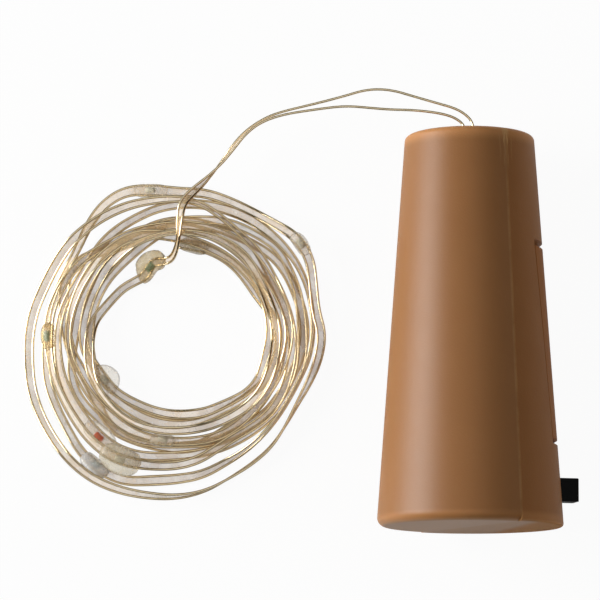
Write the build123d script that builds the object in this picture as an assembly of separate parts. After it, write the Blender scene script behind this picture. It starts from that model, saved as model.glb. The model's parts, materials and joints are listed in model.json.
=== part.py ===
from build123d import *
import math
import os

# Cork bottle light: a cork-shaped battery case that lies on its side, with a coiled string of LEDs.
# All sizes are in millimetres. The case is drawn upright in its own frame, Z along the cork from the
# wide end and X towards the battery door, and is then laid on the floor as one.

# Cork-shaped case
CORK_LENGTH = 50.0
WIDE_DIAMETER = 23.6
NARROW_DIAMETER = 16.5
SHELL_WALL = 1.4
END_WALL = 1.4
FRONT_EDGE_ROUND = 1.1
REAR_EDGE_ROUND = 0.4
NARROW_EDGE_ROUND = 0.7
SEAM_AZIMUTH = -72.5
DOOR_AZIMUTH = 105.5
BOTTLE_BORE = 18.5

# Locating pins between the two shells
BOSS_RADIUS = 1.5
BOSS_REACH = 2.4
BOSS_FROM_WIDE_END = 6.0
BOSS_FROM_NARROW_END = 9.0
PIN_RADIUS = 0.6
PIN_LENGTH = 1.8
PIN_CLEARANCE = 0.1

# Stiffening ribs inside the front shell
RIB_WIDTH = 0.8
RIB_DEPTH = 0.6
RIB_PLACES = (18.0, 28.0)

# Button cells
CELL_COUNT = 3
CELL_DIAMETER = 11.6
CELL_HEIGHT = 5.4
CELL_CAP_DIAMETER = 9.6
CELL_CAP_HEIGHT = 0.5
CELL_SHOULDER = 0.7
CELL_EDGE = 0.3
CELL_CLEARANCE = 0.2
CELL_COVER_GAP = 0.9

# Battery bay, contacts and spring
TUB_WALL = 1.0
BAY_END_WALL = 1.2
SPRING_LENGTH = 5.5
SPRING_WIRE = 0.45
SPRING_TURNS = 4.5
SPRING_BASE_RADIUS = 3.2
SPRING_TOP_RADIUS = 2.0
PLATE_THICKNESS = 0.3
PLATE_HALF_WIDTH = 4.2
PLATE_REACH = 3.4
DIMPLE_RADIUS = 1.6
DIMPLE_HEIGHT = 0.4
TAB_WIDTH = 1.6
TAB_SLOT_CLEARANCE = 0.1
TAB_OVERHANG = 1.9

# Battery door
DOOR_FROM_WIDE_END = 10.6
DOOR_THICKNESS = 1.2
DOOR_SEAT_GAP = 0.15
DOOR_LEDGE = 0.4
DOOR_SIDE_GAP = 0.15
DOOR_END_GAP = 0.15
NARROW_NOTCH_DEPTH = 0.7
WIDE_NOTCH_DEPTH = 0.6
NOTCH_SLOPE = 0.6
HOOK_INNER = 2.2
HOOK_OUTER = 4.4
HOOK_THICKNESS = 0.7
HOOK_REACH = 0.7
HOOK_ROOT = 0.8
HOOK_CLEARANCE = 0.15
HOOK_POCKET_GAP = 0.3
LATCH_WIDTH = 4.0
LATCH_DEPTH = 1.0
LATCH_THICKNESS = 0.8
LATCH_GAP = 0.25

# Slide switch
SWITCH_LENGTH = 7.4
SWITCH_WIDTH = 3.8
SWITCH_HEIGHT = 3.4
SWITCH_END_GAP = 0.8
SWITCH_WALL_GAP = 0.15
FRAME_SHEET = 0.35
BASE_THICKNESS = 1.0
BASE_END_WALL = 0.5
KNOB_LENGTH = 3.0
KNOB_WIDTH = 2.2
KNOB_PROTRUSION = 2.6
KNOB_TRAVEL = 2.0
KNOB_CLEARANCE = 0.2
KNOB_EDGE = 0.2
FLANGE_OVERHANG = 0.5
FLANGE_WIDTH = 2.8
FLANGE_HEIGHT = 1.1
SLIDE_GAP = 0.1
WIPER_SHEET = 0.15
WIPER_WIDTH = 1.6
WIPER_LENGTH = 3.4
WIPER_DEPTH = 0.5
TERMINAL_COUNT = 3
TERMINAL_PITCH = 2.0
TERMINAL_PAD_LENGTH = 1.3
TERMINAL_PAD_WIDTH = 1.8
TERMINAL_PAD_HEIGHT = 0.2
PIN_SIZE = 0.5
PIN_TAIL = 0.7

# Circuit board and what is on it
BOARD_THICKNESS = 1.0
BOARD_SIDE_GAP = 0.5
BOARD_END_GAP = 0.3
SHELF_WIDTH = 1.6
SHELF_HEIGHT = 1.2
SHELF_LENGTH = 6.0
STAKE_RADIUS = 0.6
STAKE_CLEARANCE = 0.05
STAKE_HEAD = 0.5
RESISTOR_LENGTH = 1.6
RESISTOR_WIDTH = 0.8
RESISTOR_HEIGHT = 0.5
RESISTOR_STEP = 0.06
RESISTOR_CAP = 0.35
SOLDER_RADIUS = 0.8
SOLDER_TIP = 0.4
SOLDER_HEIGHT = 0.5

# Wires inside the case and the seal that the string leaves through
INNER_WIRE = 0.7
WIRE_SPREAD = 0.5
WIRE_ON_TAB = 1.3
POSITIVE_WIRE_BENDS = ((0.05, 1.0, 0.22), (0.45, 1.0, 0.5), (0.9, 0.6, 0.78))
NEGATIVE_WIRE_TOP = ((0.015, 1.0, 0.21), (0.4, 1.6, 0.46), (0.85, 2.2, 0.74))
NEGATIVE_WIRE_SIDE = ((0.96, 2.4), (0.5, 2.0), (0.04, 2.6))
NEGATIVE_WIRE_FOOT = ((0.75, 0.43, 0.43), (0.3, 0.6, 0.13), (-0.16, 0.9, 0.0))
NEGATIVE_WIRE_END_RUN = 2.2
BEND_SHARE = 0.45
SEAL_NECK_RADIUS = 1.3
SEAL_FLANGE_RADIUS = 2.2
SEAL_FLANGE_HEIGHT = 0.8
SEAL_DOME_RADIUS = 1.7
SEAL_DOME_HEIGHT = 0.6

# Light string
STRING_WIDTH = 1.2
LAYER_RISE = 2.6
COIL_START_ANGLE = 125.0
COIL_START_RADIUS = 10.2
COIL_PITCH = 2.2
TURNS_OUT = 4.35
TURNS_IN = 4.0
COIL_INNER_CENTRE = (-38.0, 0.35)
COIL_OUTER_CENTRE = (-39.2, -1.4)
LEAD_POINTS = (
    (-2.9, 28.4, 8.05),
    (-5.6, 29.3, 8.0),
    (-10.4, 30.0, 7.8),
    (-16.0, 29.9, 7.6),
    (-21.0, 29.1, 7.5),
    (-25.6, 27.7, 7.4),
    (-29.9, 25.2, 7.4),
    (-33.3, 21.8, 7.3),
    (-36.0, 18.6, 7.3),
    (-37.4, 15.7, 7.0),
    (-38.3, 13.3, 5.9),
    (-39.4, 11.7, 4.4),
)
LEAD_EXIT_RUN = 1.4
LEAD_END_RUN = 2.0

# LED drops on the string, placed by the angle that the coil has turned through
BEAD_ANGLES = (132.0, 572.0, 983.0, 1326.0, 1620.0, 1900.0, 2196.0, 2400.0, 2753.0, 3306.0)
BEAD_LENGTH = 4.0
BEAD_DIAMETER = 2.2
BEAD_FLOOR_GAP = 0.05
CHIP_LENGTH = 1.6
CHIP_WIDTH = 0.8
CHIP_BASE = 0.25
CHIP_DOME = 0.25
CHIP_DOME_LENGTH = 1.0
CHIP_SEAT_GAP = 0.02

# Values that follow from the driving dimensions
WIDE_RADIUS = WIDE_DIAMETER / 2
NARROW_RADIUS = NARROW_DIAMETER / 2
TAPER = (WIDE_RADIUS - NARROW_RADIUS) / CORK_LENGTH
HALF_CONE = math.degrees(math.atan(TAPER))
CELL_RADIUS = CELL_DIAMETER / 2
BAY_HALF_WIDTH = CELL_RADIUS + CELL_CLEARANCE
OPENING_HALF_WIDTH = BAY_HALF_WIDTH + DOOR_LEDGE
DOOR_HALF_WIDTH = OPENING_HALF_WIDTH - DOOR_SIDE_GAP
SEAT_DEPTH = DOOR_THICKNESS + DOOR_SEAT_GAP
STACK_LENGTH = CELL_COUNT * CELL_HEIGHT
BAY_LENGTH = STACK_LENGTH + SPRING_LENGTH + 2 * PLATE_THICKNESS + DIMPLE_HEIGHT
OPENING_START = DOOR_FROM_WIDE_END
BAY_START = OPENING_START + BAY_END_WALL
BAY_END = BAY_START + BAY_LENGTH
OPENING_END = BAY_END + BAY_END_WALL
STACK_START = BAY_START + PLATE_THICKNESS + SPRING_LENGTH
FAR = 4 * CORK_LENGTH


def radius_at(z):
    """Outer radius of the cork at height z."""
    return WIDE_RADIUS - TAPER * z


def inner_radius_at(z):
    """Radius of the hollow inside the cork at height z."""
    return radius_at(z) - SHELL_WALL


def inner_reach(z, y):
    """How far the hollow reaches along X at height z and side offset y."""
    return math.sqrt(inner_radius_at(z) ** 2 - y ** 2)


CELL_X = radius_at(OPENING_END) - SEAT_DEPTH - CELL_COVER_GAP - CELL_RADIUS
SWITCH_START = END_WALL + SWITCH_END_GAP
SWITCH_END = SWITCH_START + SWITCH_LENGTH
SWITCH_MIDDLE = (SWITCH_START + SWITCH_END) / 2
SWITCH_TOP = inner_reach(SWITCH_END, SWITCH_WIDTH / 2) - SWITCH_WALL_GAP
BOARD_TOP = SWITCH_TOP - SWITCH_HEIGHT
BOARD_BOTTOM = BOARD_TOP - BOARD_THICKNESS
BOARD_START = END_WALL + BOARD_END_GAP
BOARD_END = OPENING_START - BOARD_END_GAP
BOARD_HALF_WIDTH = inner_reach(BOARD_END, BOARD_TOP) - BOARD_SIDE_GAP
SHELF_INNER = BOARD_HALF_WIDTH - SHELF_WIDTH
STAKE_Y = BOARD_HALF_WIDTH - SHELF_WIDTH / 2
STAKE_Z = BOARD_START + SHELF_LENGTH / 2
KNOB_MIDDLE = SWITCH_MIDDLE - KNOB_TRAVEL / 2
FLANGE_TOP = SWITCH_TOP - FRAME_SHEET - SLIDE_GAP
FLANGE_BOTTOM = FLANGE_TOP - FLANGE_HEIGHT
BASE_TOP = BOARD_TOP + BASE_THICKNESS
PAD_TOP = BASE_TOP + TERMINAL_PAD_HEIGHT
TAB_TOP = BOARD_BOTTOM - SLIDE_GAP
POSITIVE_TAB_END = OPENING_END + TAB_OVERHANG


def block(x, y, z):
    """Box between two X, two Y and two Z values."""
    middle = Pos((x[0] + x[1]) / 2, (y[0] + y[1]) / 2, (z[0] + z[1]) / 2)
    return middle * Box(x[1] - x[0], y[1] - y[0], z[1] - z[0])


def grouped(pieces):
    """Separate solids kept together as one piece."""
    return Compound([solid for piece in pieces for solid in piece.solids()])


def spun(*outline):
    """Solid of revolution about Z from points given as radius and height."""
    return revolve(Plane.XZ * make_face(Polyline(*outline, close=True)), Axis.Z)


def cone_inside(depth, z_low, z_high):
    """Solid cone that lies the given depth under the cork's outer surface."""
    low = radius_at(z_low) - depth
    high = radius_at(z_high) - depth
    return spun((0, z_low), (low, z_low), (high, z_high), (0, z_high))


def cone_band(outer_depth, inner_depth, z_low, z_high):
    """Ring between two depths under the cork's outer surface."""
    outer_low = radius_at(z_low) - outer_depth
    outer_high = radius_at(z_high) - outer_depth
    inner_low = radius_at(z_low) - inner_depth
    inner_high = radius_at(z_high) - inner_depth
    return spun((inner_low, z_low), (outer_low, z_low), (outer_high, z_high), (inner_high, z_high))


def rounded_cork(wide_round):
    """Outer form of the cork with its two rims rounded."""
    cork = cone_inside(0, 0, CORK_LENGTH)
    rims = cork.edges().filter_by(GeomType.CIRCLE).sort_by(Axis.Z)
    cork = fillet(rims[0], wide_round)
    top_rim = cork.edges().filter_by(GeomType.CIRCLE).sort_by(Axis.Z)[-1]
    return fillet(top_rim, NARROW_EDGE_ROUND)


def half_space(towards_door):
    """Everything on one side of the seam plane, which runs through the cork's axis."""
    align = Align.MIN if towards_door else Align.MAX
    half = Box(FAR, 2 * FAR, 2 * FAR, align=(align, Align.CENTER, Align.CENTER))
    return Rot(0, 0, SEAM_AZIMUTH + 90) * half


def hollow_half(wide_round, towards_door):
    """One bare half of the cork's wall, open for the string's seal."""
    hollow = cone_inside(SHELL_WALL, END_WALL, CORK_LENGTH - END_WALL)
    seal_hole = Pos(0, 0, CORK_LENGTH) * Cylinder(SEAL_NECK_RADIUS, 4 * END_WALL)
    return (rounded_cork(wide_round) - hollow - seal_hole) & half_space(towards_door)


def boss_places():
    """Planes of the locating pins: origin on the seam, Z square to it and towards the door."""
    places = []
    for z in (BOSS_FROM_WIDE_END, CORK_LENGTH - BOSS_FROM_NARROW_END):
        for side in (1, -1):
            seam = Rot(0, 0, SEAM_AZIMUTH) * Pos(side * (inner_radius_at(z) - PIN_RADIUS), 0, z)
            places.append(seam * Rot(-90, 0, 0))
    return places


def bosses(direction):
    """Round bosses along the seam on one side of it, trimmed to the cork."""
    rod = Cylinder(BOSS_RADIUS, BOSS_REACH, align=(Align.CENTER, Align.CENTER, Align.MIN))
    turn = Rot(0, 0, 0) if direction > 0 else Rot(180, 0, 0)
    trim = cone_inside(SHELL_WALL / 2, END_WALL / 2, CORK_LENGTH - END_WALL / 2)
    return [place * turn * rod & trim for place in boss_places()]


def make_front_shell():
    shell = hollow_half(FRONT_EDGE_ROUND, False)
    for boss in bosses(-1):
        shell += boss
    pin = Cylinder(PIN_RADIUS, PIN_LENGTH + BOSS_REACH / 2, align=(Align.CENTER, Align.CENTER, Align.MIN))
    for place in boss_places():
        shell += place * Pos(0, 0, -BOSS_REACH / 2) * pin
    for z in RIB_PLACES:
        rib = cone_band(SHELL_WALL / 2, SHELL_WALL + RIB_DEPTH, z - RIB_WIDTH / 2, z + RIB_WIDTH / 2)
        shell += rib & half_space(False)
    return shell


def slot_section(radius):
    """Outline of the bay seen along the cork: round at the bottom, straight towards the door."""
    way_out = Pos(CELL_X + WIDE_DIAMETER / 2, 0) * Rectangle(WIDE_DIAMETER, 2 * radius)
    return Pos(CELL_X, 0) * Circle(radius) + way_out


def bay_block(radius, z_low, z_high):
    return Pos(0, 0, z_low) * extrude(slot_section(radius), z_high - z_low)


def notch(z, depth):
    """V groove across the edge between the door and the shell."""
    rim = radius_at(z)
    reach = 2 * depth * NOTCH_SLOPE
    groove = spun((rim - depth, z), (rim + depth, z - reach), (rim + depth, z + reach))
    width = (-OPENING_HALF_WIDTH, OPENING_HALF_WIDTH)
    return groove & block((0, WIDE_DIAMETER), width, (z - 2 * reach, z + 2 * reach))


def notches():
    return notch(OPENING_START, WIDE_NOTCH_DEPTH) + notch(OPENING_END, NARROW_NOTCH_DEPTH)


def hook_spans():
    return ((HOOK_INNER, HOOK_OUTER), (-HOOK_OUTER, -HOOK_INNER))


def make_rear_shell():
    shell = hollow_half(REAR_EDGE_ROUND, True)
    for boss in bosses(1):
        shell += boss
    tub = bay_block(BAY_HALF_WIDTH + TUB_WALL, OPENING_START, OPENING_END)
    shell += tub & cone_inside(SHELL_WALL / 2, OPENING_START, OPENING_END)
    for side in (1, -1):
        span = sorted((side * SHELF_INNER, side * WIDE_RADIUS))
        shelf = block((BOARD_BOTTOM - SHELF_HEIGHT, BOARD_BOTTOM), span,
                      (END_WALL / 2, BOARD_START + SHELF_LENGTH))
        shell += shelf & cone_inside(SHELL_WALL / 2, 0, CORK_LENGTH)
        stake = Cylinder(STAKE_RADIUS, BOARD_THICKNESS + STAKE_HEAD + SHELF_HEIGHT / 2,
                         align=(Align.CENTER, Align.CENTER, Align.MIN))
        shell += Pos(BOARD_BOTTOM - SHELF_HEIGHT / 2, side * STAKE_Y, STAKE_Z) * Rot(0, 90, 0) * stake

    # Battery bay, door opening and the notches at its two ends
    shell -= bay_block(BAY_HALF_WIDTH, BAY_START, BAY_END)
    opening = block((0, WIDE_DIAMETER), (-OPENING_HALF_WIDTH, OPENING_HALF_WIDTH),
                    (OPENING_START, OPENING_END))
    shell -= opening - cone_inside(SEAT_DEPTH, OPENING_START, OPENING_END)
    shell -= notches()

    # Pockets for the door's hooks in the top of the bay's narrow end wall
    for span in hook_spans():
        wide_span = (span[0] - HOOK_CLEARANCE, span[1] + HOOK_CLEARANCE)
        pocket = cone_band(SEAT_DEPTH / 2, SEAT_DEPTH + HOOK_THICKNESS + 2 * HOOK_POCKET_GAP,
                           BAY_END - HOOK_POCKET_GAP, OPENING_END)
        shell -= pocket & block((0, WIDE_DIAMETER), wide_span, (0, CORK_LENGTH))

    # Slots for the contact tabs through the two end walls of the bay
    tab_half = TAB_WIDTH / 2 + TAB_SLOT_CLEARANCE
    tab_height = (TAB_TOP - PLATE_THICKNESS - TAB_SLOT_CLEARANCE, TAB_TOP + TAB_SLOT_CLEARANCE)
    shell -= block(tab_height, (-tab_half, tab_half), (OPENING_START, BAY_START))
    shell -= block(tab_height, (-tab_half, tab_half), (BAY_END, OPENING_END))

    # Slot that the switch knob slides in
    slot_half = KNOB_WIDTH / 2 + KNOB_CLEARANCE
    slot_low = KNOB_MIDDLE - KNOB_LENGTH / 2 - KNOB_CLEARANCE
    slot_high = KNOB_MIDDLE + KNOB_LENGTH / 2 + KNOB_TRAVEL + KNOB_CLEARANCE
    shell -= block((SWITCH_TOP, WIDE_DIAMETER), (-slot_half, slot_half), (slot_low, slot_high))

    # Pin sockets
    socket = Cylinder(PIN_RADIUS + PIN_CLEARANCE, PIN_LENGTH + PIN_CLEARANCE,
                      align=(Align.CENTER, Align.CENTER, Align.MIN))
    for place in boss_places():
        shell -= place * socket
    return shell


def make_battery_door():
    low = OPENING_START + DOOR_END_GAP
    high = OPENING_END - DOOR_END_GAP
    door = cone_band(0, DOOR_THICKNESS, low, high)
    door &= block((0, WIDE_DIAMETER), (-DOOR_HALF_WIDTH, DOOR_HALF_WIDTH), (low, high))
    door -= notches()

    # Two hooks that reach under the shell at the narrow end
    foot_top = SHELL_WALL + HOOK_CLEARANCE
    foot_bottom = foot_top + HOOK_THICKNESS
    root = (high - HOOK_ROOT, high)
    for span in hook_spans():
        post = cone_band(DOOR_THICKNESS / 2, foot_bottom, *root)
        foot = cone_band(foot_top, foot_bottom, root[0], OPENING_END + HOOK_REACH)
        door += (post + foot) & block((0, WIDE_DIAMETER), span, (0, CORK_LENGTH))

    # Latch rib that presses on the bay's wide end wall
    rib_low = BAY_START + LATCH_GAP
    rib = cone_band(DOOR_THICKNESS / 2, DOOR_THICKNESS + LATCH_DEPTH, rib_low, rib_low + LATCH_THICKNESS)
    door += rib & block((0, WIDE_DIAMETER), (-LATCH_WIDTH / 2, LATCH_WIDTH / 2), (0, CORK_LENGTH))
    return door


def make_cell(number):
    """Button cell, with the smaller negative cap towards the spring."""
    cap = CELL_CAP_DIAMETER / 2
    shoulder = CELL_CAP_HEIGHT + CELL_SHOULDER
    cell = spun((0, 0), (cap, 0), (cap, CELL_CAP_HEIGHT), (CELL_RADIUS - CELL_EDGE, CELL_CAP_HEIGHT),
                (CELL_RADIUS, shoulder), (CELL_RADIUS, CELL_HEIGHT - CELL_EDGE),
                (CELL_RADIUS - CELL_EDGE, CELL_HEIGHT), (0, CELL_HEIGHT))
    return Pos(CELL_X, 0, STACK_START + number * CELL_HEIGHT) * cell


def contact_plate(z, tab):
    """Spring-steel plate across the bay with a tab folded along the cork."""
    height = (CELL_X - PLATE_REACH, TAB_TOP)
    width = (-PLATE_HALF_WIDTH, PLATE_HALF_WIDTH)
    plate = block(height, width, (z, z + PLATE_THICKNESS))
    return plate + block((TAB_TOP - PLATE_THICKNESS, TAB_TOP), (-TAB_WIDTH / 2, TAB_WIDTH / 2), tab)


def make_positive_contact():
    z = BAY_END - PLATE_THICKNESS
    dimple = Cone(DIMPLE_RADIUS / 2, DIMPLE_RADIUS, DIMPLE_HEIGHT,
                  align=(Align.CENTER, Align.CENTER, Align.MAX))
    return contact_plate(z, (z, POSITIVE_TAB_END)) + Pos(CELL_X, 0, z) * dimple


def make_negative_contact():
    return contact_plate(BAY_START, (OPENING_START - TAB_OVERHANG, BAY_START + PLATE_THICKNESS))


def biarc(start, start_way, end, end_way):
    """Two tangent arcs from one point and direction to another."""
    span = end - start
    sum_way = start_way + end_way
    bend = 2 * (1 - start_way.dot(end_way))
    along = span.dot(sum_way)
    reach = (math.sqrt(along ** 2 + bend * span.dot(span)) - along) / bend
    start_knee = start + start_way * reach
    end_knee = end - end_way * reach
    middle = (start_knee + end_knee) * 0.5
    middle_way = (end_knee - start_knee).normalized()
    return [TangentArc(start, middle, tangent=start_way), TangentArc(middle, end, tangent=middle_way)]


def turning_path(point, angles, step=0.5):
    """Biarcs through a curve given as a function of its angle in degrees."""
    ways = [(point(angle + step) - point(angle - step)).normalized() for angle in angles]
    edges = []
    for number in range(len(angles) - 1):
        start = point(angles[number])
        end = point(angles[number + 1])
        edges += biarc(start, ways[number], end, ways[number + 1])
    return edges, ways[0], ways[-1]


def tube(path, diameter):
    """Round tube along a path of lines and arcs."""
    return sweep(Plane(origin=path @ 0, z_dir=path % 0) * Circle(diameter / 2), path=path)


def least_gap(path, diameter, name):
    """Print the tube's least gap to itself, measured on points along its path."""
    count = int(path.length / (diameter * 0.8))
    points = [path @ (number / count) for number in range(count + 1)]
    skip = int(3 * diameter / (path.length / count)) + 2
    least = min((points[i] - points[j]).length
                for i in range(count + 1) for j in range(i + skip, count + 1))
    print(f"{name}: length {path.length:.1f} mm, least gap to itself {least - diameter:.2f} mm")


def compare_volume(solid, path, diameter, name):
    expected = math.pi * diameter ** 2 / 4 * path.length
    print(f"{name}: volume {solid.volume:.2f}, section times length {expected:.2f} cubic mm")


def spring_point(angle):
    """Point of the conical spring after it has turned through an angle in degrees."""
    share = angle / (360 * SPRING_TURNS)
    radius = SPRING_BASE_RADIUS + (SPRING_TOP_RADIUS - SPRING_BASE_RADIUS) * share
    height = BAY_START + PLATE_THICKNESS + SPRING_WIRE / 2 + (SPRING_LENGTH - SPRING_WIRE) * share
    turn = math.radians(angle)
    return Vector(CELL_X + radius * math.cos(turn), radius * math.sin(turn), height)


def make_contact_spring():
    quarters = int(round(SPRING_TURNS * 4))
    edges, _, _ = turning_path(spring_point, [90 * number for number in range(quarters + 1)])
    path = Wire(edges)
    least_gap(path, SPRING_WIRE, "contact_spring")
    spring = tube(path, SPRING_WIRE)
    compare_volume(spring, path, SPRING_WIRE, "contact_spring")
    return spring


def make_switch_frame():
    half = SWITCH_WIDTH / 2
    inner = half - FRAME_SHEET
    along = (SWITCH_START, SWITCH_END)
    frame = block((BOARD_TOP, SWITCH_TOP), (-half, half), along)
    frame -= block((BOARD_TOP, SWITCH_TOP - FRAME_SHEET), (-inner, inner), along)
    window = KNOB_WIDTH / 2 + KNOB_CLEARANCE
    window_low = KNOB_MIDDLE - KNOB_LENGTH / 2 - KNOB_CLEARANCE
    window_high = KNOB_MIDDLE + KNOB_LENGTH / 2 + KNOB_TRAVEL + KNOB_CLEARANCE
    return frame - block((BOARD_TOP, SWITCH_TOP), (-window, window), (window_low, window_high))


def terminal_places():
    first = SWITCH_MIDDLE - TERMINAL_PITCH * (TERMINAL_COUNT - 1) / 2
    return [first + number * TERMINAL_PITCH for number in range(TERMINAL_COUNT)]


def pin_block(z, x):
    half = PIN_SIZE / 2
    return block(x, (-half, half), (z - half, z + half))


def make_switch_base():
    inner = SWITCH_WIDTH / 2 - FRAME_SHEET
    top = SWITCH_TOP - FRAME_SHEET
    base = block((BOARD_TOP, top), (-inner, inner), (SWITCH_START, SWITCH_END))
    well = (SWITCH_START + BASE_END_WALL, SWITCH_END - BASE_END_WALL)
    base -= block((BASE_TOP, top), (-inner, inner), well)
    for z in terminal_places():
        base -= pin_block(z, (BOARD_TOP, BASE_TOP))
    return base


def make_switch_terminals():
    pins = []
    for z in terminal_places():
        pad = block((BASE_TOP, PAD_TOP), (-TERMINAL_PAD_WIDTH / 2, TERMINAL_PAD_WIDTH / 2),
                    (z - TERMINAL_PAD_LENGTH / 2, z + TERMINAL_PAD_LENGTH / 2))
        pins.append(pad + pin_block(z, (BOARD_BOTTOM - PIN_TAIL, BASE_TOP)))
    return grouped(pins)


def wiper_span():
    return (KNOB_MIDDLE - WIPER_LENGTH / 2, KNOB_MIDDLE + WIPER_LENGTH / 2)


def make_switch_knob():
    half = KNOB_LENGTH / 2
    tip = radius_at(KNOB_MIDDLE) + KNOB_PROTRUSION
    stem = block((FLANGE_TOP, tip), (-KNOB_WIDTH / 2, KNOB_WIDTH / 2),
                 (KNOB_MIDDLE - half, KNOB_MIDDLE + half))
    stem = fillet(stem.faces().sort_by(Axis.X)[-1].edges(), KNOB_EDGE)
    flange_half = half + FLANGE_OVERHANG
    flange = block((FLANGE_BOTTOM, FLANGE_TOP), (-FLANGE_WIDTH / 2, FLANGE_WIDTH / 2),
                   (KNOB_MIDDLE - flange_half, KNOB_MIDDLE + flange_half))
    pocket = block((FLANGE_BOTTOM, FLANGE_BOTTOM + WIPER_DEPTH), (-WIPER_WIDTH / 2, WIPER_WIDTH / 2),
                   wiper_span())
    return stem + flange - pocket


def make_switch_wiper():
    """Bent contact strip in the knob's pocket, with two feet just over the terminal pads."""
    low, high = wiper_span()
    foot_height = PAD_TOP + SLIDE_GAP
    top = FLANGE_BOTTOM + WIPER_DEPTH
    foot = TERMINAL_PITCH / 2
    middle_line = Polyline((top - WIPER_SHEET / 2, low + WIPER_SHEET / 2),
                           (foot_height + WIPER_SHEET / 2, KNOB_MIDDLE - foot),
                           (top - WIPER_SHEET / 2, KNOB_MIDDLE),
                           (foot_height + WIPER_SHEET / 2, KNOB_MIDDLE + foot),
                           (top - WIPER_SHEET / 2, high - WIPER_SHEET / 2))
    strip = make_face(offset(middle_line, WIPER_SHEET / 2))
    wiper = extrude(Plane.XZ * strip, WIPER_WIDTH / 2, both=True)
    return wiper & block((foot_height, top), (-WIPER_WIDTH / 2, WIPER_WIDTH / 2), (low, high))


def make_circuit_board():
    board = block((BOARD_BOTTOM, BOARD_TOP), (-BOARD_HALF_WIDTH, BOARD_HALF_WIDTH),
                  (BOARD_START, BOARD_END))
    hole = Rot(0, 90, 0) * Cylinder(STAKE_RADIUS + STAKE_CLEARANCE, 4 * BOARD_THICKNESS)
    for side in (1, -1):
        board -= Pos(BOARD_TOP, side * STAKE_Y, STAKE_Z) * hole
    for z in terminal_places():
        board -= pin_block(z, (BOARD_BOTTOM, BOARD_TOP))
    return board


def resistor_place():
    return (BOARD_TOP, (SWITCH_WIDTH / 2 + STAKE_Y - STAKE_RADIUS) / 2, SWITCH_MIDDLE)


def make_chip_resistor():
    x, y, z = resistor_place()
    half = RESISTOR_LENGTH / 2
    width = RESISTOR_WIDTH / 2
    waist = width - RESISTOR_STEP
    body = block((x, x + RESISTOR_HEIGHT - RESISTOR_STEP), (y - waist, y + waist), (z - half, z + half))
    for side in (-1, 1):
        cap = sorted((z + side * half, z + side * (half - RESISTOR_CAP)))
        body += block((x, x + RESISTOR_HEIGHT), (y - width, y + width), cap)
    return body


def negative_wire_end():
    """Where the negative wire meets the underside of the board."""
    return Vector(BOARD_BOTTOM, -SHELF_INNER + SOLDER_RADIUS + INNER_WIRE, KNOB_MIDDLE)


def make_solder_joints():
    """Small cones of solder under the board, round the switch pins, and a seam under the tab."""
    cone = Cone(SOLDER_RADIUS, SOLDER_TIP, SOLDER_HEIGHT, align=(Align.CENTER, Align.CENTER, Align.MIN))
    joints = []
    for z in terminal_places():
        joint = Pos(BOARD_BOTTOM, 0, z) * Rot(0, -90, 0) * cone
        joints.append(joint - pin_block(z, (BOARD_BOTTOM - PIN_TAIL, BOARD_BOTTOM)))
    end = negative_wire_end()
    joint = Pos(*end) * Rot(0, -90, 0) * cone
    wire = Pos(*end) * Rot(0, -90, 0) * Cylinder(INNER_WIRE / 2, 4 * SOLDER_HEIGHT)
    joints.append(joint - wire)
    tab_low = OPENING_START - TAB_OVERHANG
    joints.append(block((TAB_TOP, BOARD_BOTTOM), (-TAB_WIDTH / 2, TAB_WIDTH / 2), (tab_low, BOARD_END)))
    return grouped(joints)


def route(points, diameter, name):
    """Path of straight runs and tangent arcs, each arc as large as its two runs allow."""
    points = [Vector(point) for point in points]
    radii = []
    for before, corner, after in zip(points, points[1:], points[2:]):
        run_in = corner - before
        run_out = after - corner
        turn = math.radians(run_in.get_angle(run_out))
        radii.append(BEND_SHARE * min(run_in.length, run_out.length) / math.tan(turn / 2))
    print(f"{name} radii in diameters:", " ".join(f"{radius / diameter:.1f}" for radius in radii))
    return FilletPolyline(*points, radius=radii)


def seal_inner_face():
    return CORK_LENGTH - END_WALL - SEAL_FLANGE_HEIGHT


def make_positive_wire():
    top = seal_inner_face()
    end_x = TAB_TOP - PLATE_THICKNESS - INNER_WIRE / 2
    drop = top - POSITIVE_TAB_END
    points = [(0, WIRE_SPREAD, top)]
    for side, spread, fall in POSITIVE_WIRE_BENDS:
        points.append((side * end_x, spread * WIRE_SPREAD, top - fall * drop))
    points += [(end_x, 0, POSITIVE_TAB_END), (end_x, 0, POSITIVE_TAB_END - WIRE_ON_TAB)]
    path = route(points, INNER_WIRE, "positive_wire")
    return tube(path, INNER_WIRE)


def make_negative_wire():
    """Runs from the seal down the far side of the bay to the board."""
    top = seal_inner_face()
    tub_bottom = CELL_X - BAY_HALF_WIDTH - TUB_WALL
    upper = (tub_bottom - inner_radius_at(OPENING_END)) / 2
    lower = (tub_bottom - inner_radius_at(OPENING_START)) / 2
    end = negative_wire_end()
    points = [(0, -WIRE_SPREAD, top)]
    for side, spread, fall in NEGATIVE_WIRE_TOP:
        points.append((side * upper, -spread * WIRE_SPREAD, top - fall * (top - OPENING_END)))
    for share, spread in NEGATIVE_WIRE_SIDE:
        side = lower + (upper - lower) * share
        height = OPENING_START + (OPENING_END - OPENING_START) * share
        points.append((side, -spread * WIRE_SPREAD, height))
    for side, across, rise in NEGATIVE_WIRE_FOOT:
        points.append((side * lower, across * end.Y, end.Z + rise * (OPENING_START - end.Z)))
    points += [(end.X - NEGATIVE_WIRE_END_RUN, end.Y, end.Z), tuple(end)]
    path = route(points, INNER_WIRE, "negative_wire")
    return tube(path, INNER_WIRE)


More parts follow.
